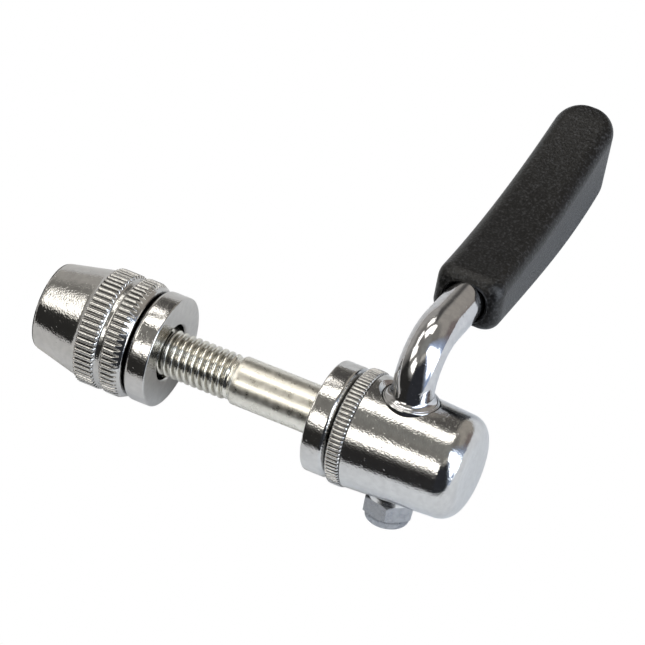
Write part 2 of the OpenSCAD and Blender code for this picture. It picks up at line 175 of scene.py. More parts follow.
def noise(tree, place, scale, detail=3.0, roughness=0.5):
    # Noise texture on object coordinates; scale is per metre.
    node = tree.nodes.new("ShaderNodeTexNoise")
    node.inputs["Scale"].default_value = scale
    node.inputs["Detail"].default_value = detail
    node.inputs["Roughness"].default_value = roughness
    tree.links.new(place, node.inputs["Vector"])
    return node.outputs["Fac"]


def remap(tree, value, low, high, toLow, toHigh):
    node = tree.nodes.new("ShaderNodeMapRange")
    node.inputs["From Min"].default_value = low
    node.inputs["From Max"].default_value = high
    node.inputs["To Min"].default_value = toLow
    node.inputs["To Max"].default_value = toHigh
    tree.links.new(value, node.inputs["Value"])
    return node.outputs["Result"]


def bump(tree, height, distance, under=None):
    node = tree.nodes.new("ShaderNodeBump")
    node.inputs["Distance"].default_value = distance
    node.inputs["Strength"].default_value = 1.0
    tree.links.new(height, node.inputs["Height"])
    if under is not None:
        tree.links.new(under, node.inputs["Normal"])
    return node.outputs["Normal"]


def tinted(tree, value, dark, light):
    # Colour that runs from dark to light as value runs from 0 to 1.
    node = tree.nodes.new("ShaderNodeMix")
    node.data_type = "RGBA"
    node.inputs["A"].default_value = (*dark, 1)
    node.inputs["B"].default_value = (*light, 1)
    tree.links.new(value, node.inputs["Factor"])
    return node.outputs["Result"]


# Plating: scale of its clouds per metre, their middle range, how near a wall the painted shade in a slot
# reaches, the range of openness over which the painted shade comes in, size of a pit and the noise above which
# one starts
plating = dict(cloudScale=900, cloudDetail=4, mottled=(0.35, 0.65), clouded=(0.3, 0.7), paintedShadeReach=0.0008,
               paintedShadeSamples=6, paintedShadeRange=(0.35, 0.85), pitSize=0.0007, pitted=(0.66, 0.74))


def metalMaterial(name, dark, light, rough, wave, waveSize, grain, grainSize, pit=0.0, paintedShadeLevel=0.08):
    # Plated metal: base colour mottled between dark and light, with painted shade that darkens it in slots and
    # gaps, roughness that varies, a slow wave, a fine grain and a few pits. Heights and sizes are in metres.
    material, tree, shader, place = nodeMaterial(name)
    shader.inputs["Metallic"].default_value = 1.0
    cloud = noise(tree, place, plating["cloudScale"], plating["cloudDetail"])
    # Painted shade: ambient occlusion darkens the base colour in slots, thread roots and the gaps between
    # parts, down to the given level.
    paintedSlotShade = tree.nodes.new("ShaderNodeAmbientOcclusion")
    paintedSlotShade.samples = plating["paintedShadeSamples"]
    paintedSlotShade.inputs["Distance"].default_value = plating["paintedShadeReach"]
    paintedShadeFactor = remap(tree, paintedSlotShade.outputs["AO"], *plating["paintedShadeRange"], paintedShadeLevel, 1.0)
    shade = tree.nodes.new("ShaderNodeMix")
    shade.data_type = "RGBA"
    shade.blend_type = "MULTIPLY"
    shade.inputs["Factor"].default_value = 1.0
    mottle = remap(tree, cloud, *plating["mottled"], 0, 1)
    tree.links.new(tinted(tree, mottle, dark, light), shade.inputs["A"])
    tree.links.new(paintedShadeFactor, shade.inputs["B"])
    tree.links.new(shade.outputs["Result"], shader.inputs["Base Color"])
    tree.links.new(remap(tree, cloud, *plating["clouded"], *rough), shader.inputs["Roughness"])
    slow = bump(tree, noise(tree, place, 1 / waveSize, 2), wave)
    fine = bump(tree, noise(tree, place, 1 / grainSize, 2), grain, slow)
    if pit > 0:
        dimple = remap(tree, noise(tree, place, 1 / plating["pitSize"], 1), *plating["pitted"], 0, 1)
        fine = bump(tree, dimple, pit, fine)
    tree.links.new(fine, shader.inputs["Normal"])
    return material


# Every metal below carries that painted shade in its slots and gaps; on the bolt it is lighter.
chromeTurned = metalMaterial(
    "chromeTurned", (0.58, 0.575, 0.57), (0.65, 0.645, 0.635), (0.045, 0.09),
    wave=0.000010, waveSize=0.0013, grain=0.000026, grainSize=0.00030, pit=0.000012)
chromeLever = metalMaterial(
    "chromeLever", (0.58, 0.58, 0.60), (0.66, 0.66, 0.67), (0.05, 0.10),
    wave=0.000020, waveSize=0.0018, grain=0.000004, grainSize=0.0003, pit=0.000006)
zincBolt = metalMaterial(
    "zincBolt", (0.76, 0.74, 0.67), (0.90, 0.88, 0.81), (0.24, 0.38),
    wave=0.000004, waveSize=0.0010, grain=0.000014, grainSize=0.00034, paintedShadeLevel=0.5)
zincNut = metalMaterial(
    "zincNut", (0.34, 0.35, 0.375), (0.45, 0.46, 0.485), (0.22, 0.36),
    wave=0.000004, waveSize=0.0010, grain=0.000003, grainSize=0.00025)
brightWasher = metalMaterial(
    "brightWasher", (0.66, 0.66, 0.66), (0.74, 0.74, 0.74), (0.10, 0.18),
    wave=0.000002, waveSize=0.0010, grain=0.000001, grainSize=0.0003)


def polishedBeyond(material, start, share, over=0.5):
    # Roughness falls to a share of itself on the nut's side of the start, over a few tenths of a mm
    # along the bolt: the thread shines more than the shank.
    tree = material.node_tree
    along = tree.nodes.new("ShaderNodeVectorMath")
    along.operation = "DOT_PRODUCT"
    along.inputs[1].default_value = alongBolt
    place = tree.nodes.new("ShaderNodeTexCoord")
    tree.links.new(place.outputs["Object"], along.inputs[0])
    startsAt = float(np.dot(journalCentre, alongBolt)) + start * mm
    rough = tree.nodes["Principled BSDF"].inputs["Roughness"]
    scaled = tree.nodes.new("ShaderNodeMath")
    scaled.operation = "MULTIPLY"
    tree.links.new(rough.links[0].from_socket, scaled.inputs[0])
    factor = remap(tree, along.outputs["Value"], startsAt - over * mm, startsAt, share, 1.0)
    tree.links.new(factor, scaled.inputs[1])
    tree.links.new(scaled.outputs[0], rough)


polishedBeyond(zincBolt, -30.2, 0.6)

# Plastic: range of noise that shows as light specks, range for the roughness, and the coarse grain's
# scale and height against the fine one's
moulding = dict(specks=(0.50, 0.74), clouded=(0.3, 0.7), coarseScale=0.35, coarseHeight=0.4, specular=0.4)


def plasticMaterial(name, dark, light, rough, grain, grainSize):
    # Moulded plastic: dark with light specks, grain in two sizes as bump, rougher where the grain rises.
    material, tree, shader, place = nodeMaterial(name)
    shader.inputs["Specular IOR Level"].default_value = moulding["specular"]
    cloud = noise(tree, place, 1 / grainSize, 3, 0.6)
    speckle = remap(tree, cloud, *moulding["specks"], 0, 1)
    tree.links.new(tinted(tree, speckle, dark, light), shader.inputs["Base Color"])
    tree.links.new(remap(tree, cloud, *moulding["clouded"], *rough), shader.inputs["Roughness"])
    coarse = noise(tree, place, moulding["coarseScale"] / grainSize, 2)
    under = bump(tree, coarse, grain * moulding["coarseHeight"])
    tree.links.new(bump(tree, cloud, grain, under), shader.inputs["Normal"])
    return material


gripPlastic = plasticMaterial(
    "gripPlastic", (0.002, 0.002, 0.002), (0.050, 0.050, 0.053), (0.28, 0.42),
    grain=0.00009, grainSize=0.00042)
insertPlastic = plasticMaterial(
    "insertPlastic", (0.60, 0.60, 0.56), (0.68, 0.68, 0.64), (0.4, 0.5),
    grain=0.000004, grainSize=0.0004)


def finishPiece(piece, body, material, slotName, *nodes):
    # Material, body and the part's nodes that the piece takes the place of; the slot name is not used.
    piece.data.materials.append(material)
    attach(piece, body)
    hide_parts(*nodes)


# Adjuster nut
nut = dict(end=-65.14, front=-47.24, smallR=7.7, coneR=9.6, crestR=10.15, depth=0.52, teeth=60,
           bandA=(-56.04, -52.24), bandB=(-51.04, -48.74), grooveR=9.45, lipR=9.35,
           boreR=4.08, edge=0.6, pointsPerTooth=16, ribFade=0.22, atEdge=0.000001)

# Knurl rib over half a tooth: how much its crown falls, how far out, and where its flank lies
rib = dict(crown=0.2, crownReach=0.6, flankFrom=0.42, flankWidth=0.42)


def knurlTooth(angle, teeth):
    # One rib a tooth: a slightly domed crest, 1 at its middle, that falls to 0 in a narrow valley.
    phase = np.abs(((angle * teeth / (2 * np.pi)) + 0.5) % 1.0 - 0.5) * 2
    crown = rib["crown"] * np.clip(phase / rib["crownReach"], 0, 1) ** 2
    return 1 - crown - (1 - rib["crown"]) * smoothStep((phase - rib["flankFrom"]) / rib["flankWidth"])


def lipCone(x):
    # Radius of the nut's lip, which narrows from the second band's crests to the front.
    start = nut["bandB"][1]
    slope = (nut["crestR"] - nut["lipR"]) / (nut["front"] - start)
    return nut["crestR"] - slope * (x - start)


def nutRadius(r, x, angle):
    # Between the ends of each band the ribs stand on the root radius; the lip's cone cuts across them.
    tooth = knurlTooth(angle, nut["teeth"])
    root = nut["crestR"] - nut["depth"]
    outside = r > nut["boreR"] + 1
    out = r + 0 * angle
    for a, b in (nut["bandA"], nut["bandB"]):
        rise = smoothStep((x - a) / nut["ribFade"])
        if b == nut["bandA"][1]:
            rise = rise * smoothStep((b - x) / nut["ribFade"])
        inBand = (x > a - nut["atEdge"]) & (x < b + nut["atEdge"])
        out = np.where(inBand & outside, root + nut["depth"] * tooth * rise, out)
    inLip = outside & (x > nut["bandB"][1] - nut["atEdge"]) & (r > nut["lipR"] - 0.02)
    return np.where(inLip, np.minimum(root + nut["depth"] * tooth, lipCone(x)), out)


def nutProfile():
    # Closed section: cone, two bands with a groove between them, lip, front, bore.
    root = nut["crestR"] - nut["depth"]
    bandA, bandB = nut["bandA"], nut["bandB"]
    outer = [(nut["smallR"] - 0.2, nut["end"])]
    outer += roundCorner(nut["smallR"] - nut["edge"], nut["end"] + nut["edge"], nut["edge"], -75, -12, 6)
    fromR, fromX = outer[-1]
    outer += [(fromR + (nut["coneR"] - fromR) * t, fromX + (bandA[0] - 0.02 - fromX) * t)
              for t in np.linspace(0.08, 1, 14)]
    outer += [(root, x) for x in np.linspace(*bandA, 18)]
    outer += [(nut["grooveR"] + 0.1, bandA[1] + 0.06), (nut["grooveR"], bandA[1] + 0.16)]
    outer += [(nut["grooveR"], x) for x in np.linspace(bandA[1] + 0.4, bandB[0] - 0.4, 3)]
    outer += [(nut["grooveR"], bandB[0] - 0.16), (nut["grooveR"] + 0.1, bandB[0] - 0.06)]
    outer += [(root, x) for x in np.linspace(*bandB, 14)]
    outer += [(lipCone(x), x) for x in np.linspace(bandB[1] + 0.05, nut["front"] - 0.12, 14)]
    outer += [(nut["lipR"] - 0.15, nut["front"])]
    inner = [(nut["boreR"] + 1.2, nut["front"]), (nut["boreR"] + 0.5, nut["front"]),
             (nut["boreR"], nut["front"] - 0.5)]
    inner += [(nut["boreR"], x) for x in np.linspace(nut["front"] - 2, nut["end"] + 2, 6)]
    inner += [(nut["boreR"], nut["end"] + 0.5), (nut["boreR"] + 0.5, nut["end"]),
              (nut["boreR"] + 1.2, nut["end"])]
    return outer + inner


adjusterNut = turned("adjusterNut", nutProfile(), nut["teeth"] * nut["pointsPerTooth"], nutRadius)
finishPiece(adjusterNut, "nut", chromeTurned, "chrome_turned", "adjuster_nut")
print("adjuster nut")

# Clamping washers
washer = dict(outerR=9.6, holeR=4.85, thick=4.4, chamfer=0.9, holeEdge=0.25, edge=0.3, edgeSteps=5,
              step=0.8)


def washerProfile(face, direction):
    # Closed section: clamping face at face, chamfered back in the given direction along the bolt.
    outer, hole, thick = washer["outerR"], washer["holeR"], washer["thick"]
    chamfer, small = washer["chamfer"], washer["holeEdge"]
    corners = [(hole + small, 0), (outer, 0), (outer, thick - chamfer), (outer - chamfer, thick),
               (hole + small, thick), (hole, thick - small), (hole, small)]
    placed = [(radius, face + direction * depth) for radius, depth in corners]
    return filled(softened(placed, washer["edge"], washer["edgeSteps"]), washer["step"])


outerWasher = turned("outerWasher", washerProfile(layout["outerFace"], -1))
finishPiece(outerWasher, "nut_washer", chromeTurned, "chrome_turned", "outer_washer")
innerWasher = turned("innerWasher", washerProfile(layout["innerFace"], 1))
finishPiece(innerWasher, "loose_washer", chromeTurned, "chrome_turned", "inner_washer")
print("washers")

# Bolt
bolt = dict(end=-60.94, threadEnd=-30.92, threadR=4.0, pitch=1.25, depth=0.72, shankR=4.2,
            endR=3.2, flareX=-9.2, flareR=4.26, neckX=-7.0, neckR=5.7, eyeX=-0.5, eyeR=6.5,
            eyeHole=3.8, eyeThick=8.0, eyeEdge=0.3, angles=96)


def threadShape(phase):
    # Depth below the crest over one turn, 0 to 1: rounded crest, straight flanks and a rounded root.
    v = np.abs(phase % 1.0 - 0.5) * 2
    return 1 - smoothStep((v - 0.10) / 0.72)


def boltPoints():
    # Rows along the bolt, closest where the thread shows, with the helix cut into the radius.
    fine = np.arange(-46.0, bolt["threadEnd"] + 1.3, 0.055)
    coarse = np.arange(bolt["end"] + 0.05, -46.0, 0.11)
    x = np.concatenate([[bolt["end"], bolt["end"]], coarse, fine,
                        np.linspace(layout["shankStart"] + 0.1, bolt["flareX"], 24),
                        np.linspace(bolt["flareX"] + 0.15, bolt["neckX"], 8), [bolt["neckX"] + 0.4] * 2])
    angle = np.linspace(0, 2 * np.pi, bolt["angles"], endpoint=False)
    runIn = smoothStep((x - bolt["end"] + 0.3) / 1.0)
    runOut = smoothStep((bolt["threadEnd"] + 0.5 - x) / 1.4)
    # Radius before the thread is cut, with a shallow neck where the thread ends
    radii = [(bolt["end"], bolt["endR"]), (bolt["end"] + 0.8, bolt["threadR"]),
             (bolt["threadEnd"] - 0.6, bolt["threadR"]), (bolt["threadEnd"], 3.72),
             (bolt["threadEnd"] + 0.5, 3.68), (layout["shankStart"], 4.14),
             (layout["shankStart"] + 0.1, bolt["shankR"]), (layout["innerFace"], bolt["shankR"]),
             (bolt["flareX"], bolt["flareR"]), (bolt["neckX"], bolt["neckR"]), (0, bolt["neckR"])]
    base = np.interp(x, *np.array(radii).T)
    helix = threadShape(x[:, None] / bolt["pitch"] + angle / (2 * np.pi))
    dip = bolt["depth"] * (runIn * runOut)[:, None] * helix
    r = np.maximum(base[:, None] - dip, 0.0)
    r[0] = r[-1] = 0.0
    return toRow(x[:, None] + 0 * r, r * np.sin(angle), r * np.cos(angle))


threadedShank = gridPiece("threadedShank", boltPoints())
finishPiece(threadedShank, "bolt", zincBolt, "zinc_bolt", "eye_bolt")
half = bolt["eyeThick"] / 2
eyeCorners = [(bolt["eyeHole"], -half), (bolt["eyeR"] - 0.9, -half), (bolt["eyeR"], -half + 1.1),
              (bolt["eyeR"], half - 1.1), (bolt["eyeR"] - 0.9, half), (bolt["eyeHole"], half)]
eyeProfile = filled(softened(eyeCorners, bolt["eyeEdge"]), 1.0)
boltEye = gridPiece("boltEye", uprightPoints(eyeProfile, bolt["angles"], bolt["eyeX"]), closeRows=True)
finishPiece(boltEye, "bolt", zincBolt, "zinc_bolt", "eye_bolt")
print("bolt")

# Cam housing
housing = dict(front=-9.2, back=12.7, ringBack=-6.5, ringCrest=10.1, ringDepth=0.36, ringTeeth=80,
               barrelFront=9.8, barrelBack=8.95, endRound=3.4, boreR=7.6, boreEnd=8.2,
               topBore=4.85, mouthZ=9.0, lowBore=2.8, spotR=4.92, spotZ=-8.7, frontEdge=0.1)


def ringRadius(r, x, angle):
    # Crest profile of the ring is bowed along the bolt, and ribs stand on its root.
    tooth = knurlTooth(angle, housing["ringTeeth"])
    middle = (housing["front"] + housing["ringBack"]) / 2
    span = (housing["ringBack"] - housing["front"]) / 2
    inside = np.clip(1 - ((x - middle) / span) ** 2, 0, 1)
    rise = smoothStep(inside / 0.45)
    root = housing["ringCrest"] - housing["ringDepth"] - 0.12 * (1 - inside)
    ribbed = root + housing["ringDepth"] * tooth * rise
    return np.where(r > housing["boreR"] + 1.9, ribbed, r + 0 * angle)


ringRows = [(9.7, x) for x in np.linspace(housing["front"] + 0.06, housing["ringBack"] - 0.02, 26)]
ringProfile = [(9.35, housing["front"])] + ringRows + [(9.4, housing["ringBack"] + 0.02),
               (housing["boreR"], housing["ringBack"] + 0.02), (housing["boreR"], housing["front"])]
housingRing = turned("housingRing", ringProfile, housing["ringTeeth"] * 14, ringRadius)
finishPiece(housingRing, "cam_housing", chromeTurned, "chrome_turned", "housing")


def cutter(name, rows, columns=128):
    # Closed solid of revolution about the pivot axis from (radius, z) rows, used to cut the barrel.
    points = uprightPoints(rows, columns).reshape(-1, 3)
    top = (len(rows) - 1) * columns
    caps = [list(range(columns))[::-1], list(range(top, top + columns))]
    return meshPiece(name, points, gridQuads(len(rows), columns), caps)


def barrelProfile():
    # Closed section: front, tapered side, rounded back end, and the bore that ends inside.
    front, edge = housing["barrelFront"], housing["frontEdge"]
    start = housing["ringBack"] + edge
    rows = [(housing["boreR"], housing["ringBack"]), (front - edge, housing["ringBack"]), (front, start)]
    endCentreX = housing["back"] - housing["endRound"]
    endCentreR = housing["barrelBack"] - housing["endRound"]
    arc = roundCorner(endCentreR, endCentreX, housing["endRound"], 3, 90, 24)
    rows += [(front + (arc[0][0] - front) * t, start + (arc[0][1] - start) * t)
             for t in np.linspace(0, 1, 20)[1:-1]]
    rows += arc
    rows += [(endCentreR * t, housing["back"]) for t in (0.8, 0.5, 0.2, 0.0)]
    rows += [(0.0, housing["boreEnd"]), (housing["boreR"] * 0.6, housing["boreEnd"]),
             (housing["boreR"], housing["boreEnd"])]
    return rows


barrel = turned("housingBarrel", barrelProfile(), 256)
cutters = [cutter("upperBore", [(housing["topBore"], 0.5), (housing["topBore"], housing["mouthZ"]),
                                (housing["topBore"] + 2.5, housing["mouthZ"] + 2.5)]),
           cutter("lowerBore", [(housing["spotR"], -14), (housing["spotR"], housing["spotZ"]),
                                (housing["lowBore"], housing["spotZ"] + 0.0001), (housing["lowBore"], -0.5)])]
for tool in cutters:
    cut = barrel.modifiers.new(tool.name, "BOOLEAN")
    cut.operation = "DIFFERENCE"
    cut.solver = "EXACT"
    cut.object = tool
evaluated = barrel.evaluated_get(bpy.context.evaluated_depsgraph_get())
cutMesh = bpy.data.meshes.new_from_object(evaluated)
barrel.modifiers.clear()
barrel.data = cutMesh
cutMesh.polygons.foreach_set("use_smooth", np.ones(len(cutMesh.polygons), bool))
cutMesh.set_sharp_from_angle(angle=np.radians(24))
for tool in cutters:
    bpy.data.objects.remove(tool)
barrel.data.materials.clear()
finishPiece(barrel, "cam_housing", chromeTurned, "chrome_turned", "housing")
print("housing")

# Lever bar
lever = dict(leanDeg=0.7, bendEndY=7.1638, bendEndZ=19.4562, barR=3.5, collarR=4.8, collarFoot=6.5,
             collarTop=9.1, collarEdge=0.35, blend=1.1, bendStart=11.5, bendR=8.0, bendDeg=84.0,
             legLength=10.8, tangR=2.5, tangLength=30.0, tangDeg=11.5,
             journalR=2.75, stubR=2.5, stubEnd=-14.12, camR=3.75, camShift=-0.5, camZ=4.22, spotZ=-8.7)


def leaned(x, y, z):
    # Points of the lever's arm in the row frame, turned about the pivot axis to where the arm rests.
    a = np.radians(lever["leanDeg"])
    return toRow(x * np.cos(a) + y * np.sin(a), y * np.cos(a) - x * np.sin(a), z)


def leverPath():
    # Rows of centre, heading angle above the arm, and radius: straight up, round the bend, along the
    # leg, then the tang.
    rows = [(0, lever["stubEnd"], 90, 0.0), (0, lever["stubEnd"], 90, lever["stubR"] - 0.4),
            (0, lever["stubEnd"] + 0.4, 90, lever["stubR"]), (0, lever["spotZ"], 90, lever["stubR"]),
            (0, lever["spotZ"], 90, lever["journalR"]), (0, -lever["camZ"], 90, lever["journalR"]),
            (0, -lever["camZ"], 90, lever["camR"]), (0, lever["camZ"], 90, lever["camR"]),
            (0, lever["camZ"], 90, lever["collarR"])]
    edge, blend = lever["collarEdge"], lever["blend"]
    collar = [(lever["collarR"], z) for z in np.linspace(lever["collarFoot"], lever["collarTop"] - edge, 5)]
    collar += roundCorner(lever["collarR"] - edge, lever["collarTop"] - edge, edge, 0, 90, 7)
    collar += roundCorner(lever["barR"] + blend, lever["collarTop"] + blend, blend, 270, 180, 12)[1:]
    rows += [(0, z, 90, r) for r, z in collar]
    for a in np.linspace(0, lever["bendDeg"], 49):
        v = np.radians(a)
        rows.append((lever["bendR"] * (1 - np.cos(v)), lever["bendStart"] + lever["bendR"] * np.sin(v),
                     90 - a, lever["barR"]))
    y, z, heading, r = rows[-1]
    v = np.radians(heading)
    rows += [(y + along * np.cos(v), z + along * np.sin(v), heading, lever["barR"])
             for along in np.linspace(0, lever["legLength"], 13)[1:]]
    y, z = rows[-1][:2]
    rows += [(y, z, heading, lever["barR"] - 0.01), (y, z, heading, lever["tangR"])]
    v = np.radians(lever["tangDeg"])
    y, z = y + lever["tangLength"] * np.cos(v), z + lever["tangLength"] * np.sin(v)
    rows += [(y, z, lever["tangDeg"], lever["tangR"]), (y, z, lever["tangDeg"], 0.0)]
    return np.array(rows)


def leverPoints():
    # Circles of the path's radius, each in the plane across its heading; the eccentric's circles sit
    # off centre.
    y, z, heading, r = leverPath().T
    v = np.radians(heading)
    angle = np.linspace(0, 2 * np.pi, 128, endpoint=False)
    isCam = (np.abs(r - lever["camR"]) < 1e-9)
    px = r[:, None] * np.cos(angle) + np.where(isCam, lever["camShift"], 0.0)[:, None]
    across = r[:, None] * np.sin(angle)
    py = y[:, None] + across * np.sin(v)[:, None]
    pz = z[:, None] - across * np.cos(v)[:, None]
    arm = (z > lever["bendStart"])[:, None]
    return np.where(arm[..., None], leaned(px, py, pz), toRow(px, py, pz))


leverBar = gridPiece("leverBar", leverPoints())
finishPiece(leverBar, "lever", chromeLever, "chrome_lever", "lever_bar")
print("lever bar")

# Grip
grip = dict(start=15.4, length=45.7, rootHeight=9.4, tipHeight=14.0, rise=9.9, rootWidth=12.1,
            tipWidth=10.7, corner=2.6, lowStraight=0.42, highStraight=0.43, widestCorner=0.9,
            rootEnd=(2.6, 2.0, 1.7), tipEnd=(3.5, 3.0, 0.7), columns=160, rows=110,
            mouth=[(0.0, 1.2), (3.4, 1.2), (3.56, 1.0), (3.6, 0.6), (3.7, 0.25), (3.85, 0.08), (4.1, 0.0)])


def gripPoints():
    # Rounded rectangles across the arm: edges follow the lower and upper curves, inset on quarter
    # ellipses at the ends.
    climb = np.tan(np.radians(90 - lever["bendDeg"]))
    entryZ = lever["bendEndZ"] + (grip["start"] - lever["bendEndY"]) * climb
    low0, high0 = entryZ - grip["rootHeight"] / 2, entryZ + grip["rootHeight"] / 2
    highTip = low0 + grip["rise"] + grip["tipHeight"]
    quarter = np.radians(np.linspace(0, 90, 16))
    along, hollow = 1 - np.cos(quarter), 1 - np.sin(quarter)
    rootLong, rootSide, rootTop = grip["rootEnd"]
    tipLong, tipSide, tipTop = grip["tipEnd"]
    straight = np.linspace(rootLong, grip["length"] - tipLong, grip["rows"])[1:-1]
    s = np.concatenate([rootLong * along, straight, (grip["length"] - tipLong * along)[::-1]])
    none = np.zeros(len(straight))
    sideIn = np.concatenate([rootSide * hollow, none, (tipSide * hollow)[::-1]])
    topIn = np.concatenate([rootTop * hollow, none, (tipTop * hollow)[::-1]])
    t = s / grip["length"]
    lowCurve = grip["lowStraight"] * t + (1 - grip["lowStraight"]) * t ** 4
    highCurve = grip["highStraight"] * t + (1 - grip["highStraight"]) * t * t
    low = low0 + grip["rise"] * lowCurve + topIn
    high = high0 + (highTip - high0) * highCurve - topIn
    wide = (grip["rootWidth"] + (grip["tipWidth"] - grip["rootWidth"]) * t) / 2 - sideIn
    corner = np.minimum(grip["corner"], grip["widestCorner"] * np.minimum(wide, (high - low) / 2))
    a = np.linspace(0, 2 * np.pi, grip["columns"], endpoint=False)
    quarterTurn = np.floor(a / (np.pi / 2) + 1e-9).astype(int)
    sx = np.where((quarterTurn == 0) | (quarterTurn == 3), 1, -1)
    sz = np.where(quarterTurn < 2, 1, -1)
    cx = sx * (wide - corner)[:, None]
    cz = np.where(sz > 0, (high - corner)[:, None], (low + corner)[:, None])
    x = cx + corner[:, None] * np.cos(a)
    z = cz + corner[:, None] * np.sin(a)
    y = (grip["start"] + s)[:, None] + 0 * x
    # Mouth round the bar: circles about its axis, from inside the bar out to the near end's face
    turn = np.arctan2(z[0] - entryZ, x[0])
    mouthR, mouthY = np.array(grip["mouth"]).T
    mouthX = mouthR[:, None] * np.cos(turn)
    mouthZ = entryZ + mouthR[:, None] * np.sin(turn)
    mouthRows = grip["start"] + mouthY[:, None] + 0 * mouthX
    # Far end's face: the last section drawn in to its middle
    shrink = np.array([0.6, 0.25, 0.0])[:, None]
    middle = (low[-1] + high[-1]) / 2
    x = np.concatenate([mouthX, x, x[-1] * shrink])
    y = np.concatenate([mouthRows, y, y[-1] + 0 * x[-3:]])
    z = np.concatenate([mouthZ, z, middle + (z[-1] - middle) * shrink])
    return leaned(x, y, z)


leverGrip = gridPiece("leverGrip", gripPoints())
finishPiece(leverGrip, "lever", gripPlastic, "grip_plastic", "lever_grip")
print("grip")


# Lock nut, its insert and the thin washer keep the part's own meshes, merged so they shade smoothly
def mergedCopy(name, node, sharpDeg):
    source = frame["nodes"][node]
    mesh = source.data.copy()
    piece = bpy.data.objects.new(name, mesh)
    bpy.context.scene.collection.objects.link(piece)
    weld = piece.modifiers.new("weld", "WELD")
    weld.merge_threshold = 0.000002
    welded = bpy.data.meshes.new_from_object(piece.evaluated_get(bpy.context.evaluated_depsgraph_get()))
    piece.modifiers.clear()
    piece.data = welded
    welded.polygons.foreach_set("use_smooth", np.ones(len(welded.polygons), bool))
    welded.set_sharp_from_angle(angle=np.radians(sharpDeg))
    welded.materials.clear()
    return piece


finishPiece(mergedCopy("lockNut", "lock_nut", 25), "lever", zincNut, "zinc_nut", "lock_nut")
finishPiece(mergedCopy("thinWasher", "thin_washer", 25), "lever", brightWasher, "bright_washer", "thin_washer")
finishPiece(mergedCopy("lockNutInsert", "lock_nut_insert", 25), "lever", insertPlastic, "insert_plastic",
            "lock_nut_insert")
print("lock nut")

# Studio
# The sheet's two colours are painted shade towards -X and painted light towards +X, blended between the given
# X places.
studio = dict(floorZ=cadBox[0][2] - 0.00002, sheetMiddle=(-0.02, 0.01), sheetHalf=(0.30, 0.15),
              sheetPaintedShadeToLight=((0.70, 0.685, 0.67), (0.93, 0.96, 1.0)), paintedShadeToLightFromTo=(-0.05, 0.03))


def floorMaterial():
    # White sheet: the camera sees plain white, and the metal sees a lit sheet whose colour runs from painted
    # shade, darker and warmer, at -X to painted light, whiter and cooler, along the bolt towards +X.
    material = bpy.data.materials.new("floorSheet")
    material.use_nodes = True
    tree = material.node_tree
    tree.nodes.remove(tree.nodes["Principled BSDF"])
    sheet = tree.nodes.new("ShaderNodeBsdfDiffuse")
    place = tree.nodes.new("ShaderNodeTexCoord")
    split = tree.nodes.new("ShaderNodeSeparateXYZ")
    tree.links.new(place.outputs["Object"], split.inputs[0])
    # Painted shade and light: the sheet's colour ramps from dark to white along X.
    paintedShadeToLight = remap(tree, split.outputs["X"], *studio["paintedShadeToLightFromTo"], 0, 1)
    tree.links.new(tinted(tree, paintedShadeToLight, *studio["sheetPaintedShadeToLight"]), sheet.inputs["Color"])
    glow = tree.nodes.new("ShaderNodeEmission")
    glow.inputs["Color"].default_value = (1, 1, 1, 1)
    glow.inputs["Strength"].default_value = 1.0
    ray = tree.nodes.new("ShaderNodeLightPath")
    mix = tree.nodes.new("ShaderNodeMixShader")
    tree.links.new(ray.outputs["Is Camera Ray"], mix.inputs["Fac"])
    tree.links.new(sheet.outputs[0], mix.inputs[1])
    tree.links.new(glow.outputs[0], mix.inputs[2])
    tree.links.new(mix.outputs[0], tree.nodes["Material Output"].inputs["Surface"])
    return material


def floorCorners():
    # The sheet's corners, counted round from the low ones.
    (x, y), (halfX, halfY) = studio["sheetMiddle"], studio["sheetHalf"]
    signs = ((-1, -1), (1, -1), (1, 1), (-1, 1))
    return [(x + sx * halfX, y + sy * halfY, studio["floorZ"]) for sx, sy in signs]


floor = meshPiece("floorSheet", floorCorners(), [[0, 1, 2, 3]])
floor.data.materials.append(floorMaterial())

